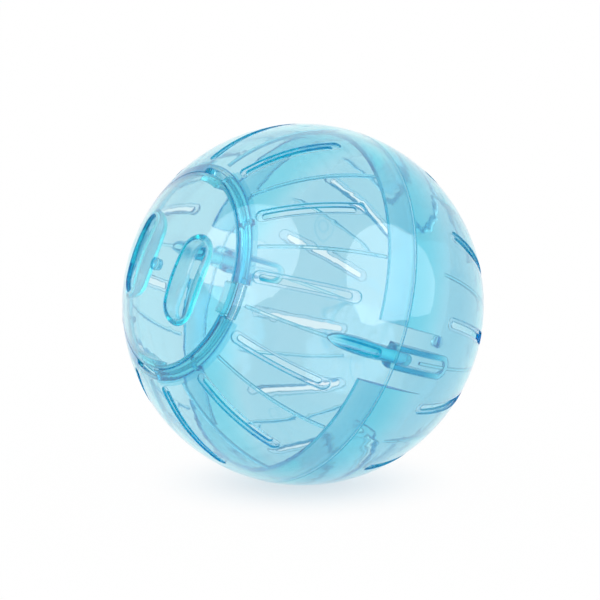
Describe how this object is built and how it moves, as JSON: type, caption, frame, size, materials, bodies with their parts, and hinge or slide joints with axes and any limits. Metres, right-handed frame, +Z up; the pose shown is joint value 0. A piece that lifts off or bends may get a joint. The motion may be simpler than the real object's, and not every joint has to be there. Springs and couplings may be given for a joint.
{
  "type": "hamster ball",
  "caption": "Clear tinted plastic exercise ball for a hamster: vented half shells that plug together, and a domed twist-lock door with finger pockets.",
  "frame": {"origin": "centre of the ball", "axes": "+Z up as the ball lies in the picture; -Y towards the door, whose axis leans 18.4 degrees up from -Y; the seam is square to that axis"},
  "size_m": [0.12, 0.12, 0.12],
  "materials": {
    "clear_blue_plastic": "glossy transparent tinted polystyrene"
  },
  "bodies": {
    "far_half": {"far_half_shell": "clear_blue_plastic"},
    "door_half": {"door_half_shell": "clear_blue_plastic"},
    "door": {"door": "clear_blue_plastic"}
  },
  "joints": [
    {"name": "halves_apart", "type": "slide", "parent": "far_half", "child": "door_half", "axis": [0, -0.949, 0.3152], "range_m": [0, 0.09]},
    {"name": "door_lift", "type": "slide", "parent": "door_half", "child": "door", "axis": [0, -0.949, 0.3152], "range_m": [0, 0.08]}
  ]
}
